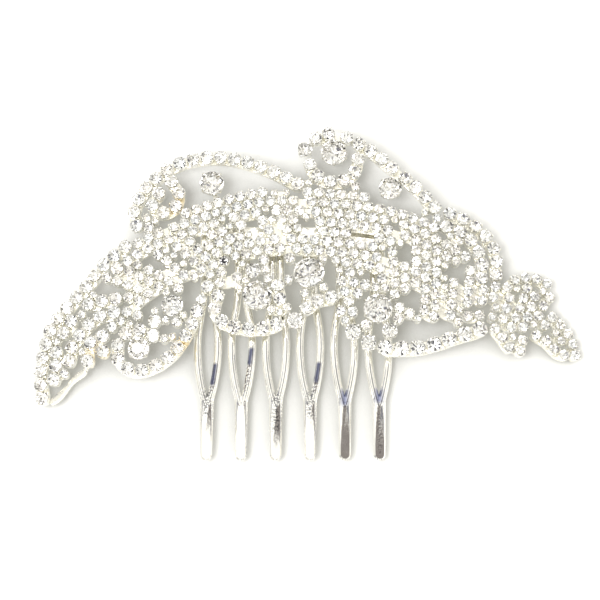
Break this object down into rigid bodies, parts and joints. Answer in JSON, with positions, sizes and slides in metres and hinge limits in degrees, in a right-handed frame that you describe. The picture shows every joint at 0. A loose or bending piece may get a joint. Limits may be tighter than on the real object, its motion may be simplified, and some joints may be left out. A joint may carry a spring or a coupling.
{
  "type": "rhinestone hair comb",
  "caption": "Flat metal hair comb with looped teeth, carrying a wide openwork ornament of scrolls, leaves and vines set all over with clear round stones.",
  "frame": {"origin": "on the comb's flat back, midway along the bar and 1.6 mm above the edge that the teeth leave", "axes": "+X along the ornament towards the end with three leaves, +Y away from the teeth towards the crest, +Z out of the face of the stones"},
  "size_m": [0.1088, 0.0688, 0.0078],
  "materials": {
    "comb_metal": "bright silver plate",
    "rail_metal": "bright silver plate",
    "cup_metal": "bright silver plate",
    "claw_metal": "bright silver plate",
    "solder": "plated over",
    "small_crystal": "clear, foil backed",
    "large_crystal": "clear, foil backed"
  },
  "bodies": {
    "root": {"arch_stone": "large_crystal", "comb": "comb_metal", "crest_scroll_cups": "cup_metal", "crest_scroll_rail": "rail_metal", "crest_scroll_stones": "small_crystal", "crest_stone": "large_crystal", "filler_cups": "cup_metal", "filler_rail": "rail_metal", "filler_stones": "small_crystal", "garland_cups": "cup_metal", "garland_rail": "rail_metal", "garland_stone": "large_crystal", "garland_stones": "small_crystal", "hip_stone": "large_crystal", "large_settings": "claw_metal", "left_arch_cups": "cup_metal", "left_arch_rail": "rail_metal", "left_arch_stones": "small_crystal", "left_leaf_cups": "cup_metal", "left_leaf_rail": "rail_metal", "left_leaf_rim": "rail_metal", "left_leaf_stones": "small_crystal", "left_lobe_cups": "cup_metal", "left_lobe_rail": "rail_metal", "left_lobe_stones": "small_crystal", "left_scroll_cups": "cup_metal", "left_scroll_rail": "rail_metal", "left_scroll_stones": "small_crystal", "medium_settings": "claw_metal", "medium_stones": "large_crystal", "middle_stone": "large_crystal", "right_arch_cups": "cup_metal", "right_arch_rail": "rail_metal", "right_arch_stones": "small_crystal", "right_edge_cups": "cup_metal", "right_edge_rail": "rail_metal", "right_edge_stones": "small_crystal", "right_leaves_cups": "cup_metal", "right_leaves_rail": "rail_metal", "right_leaves_stones": "small_crystal", "right_scroll_cups": "cup_metal", "right_scroll_rail": "rail_metal", "right_scroll_stones": "small_crystal", "scroll_stone": "large_crystal", "shoulder_stone": "large_crystal", "solder_bridges": "solder", "solder_pads": "solder", "vine_1_cups": "cup_metal", "vine_1_rail": "rail_metal", "vine_1_stones": "small_crystal", "vine_2_cups": "cup_metal", "vine_2_rail": "rail_metal", "vine_2_stones": "small_crystal", "vine_3_cups": "cup_metal", "vine_3_rail": "rail_metal", "vine_3_stones": "small_crystal", "vine_4_cups": "cup_metal", "vine_4_rail": "rail_metal", "vine_4_stones": "small_crystal", "wing_stone": "large_crystal"}
  },
  "joints": []
}
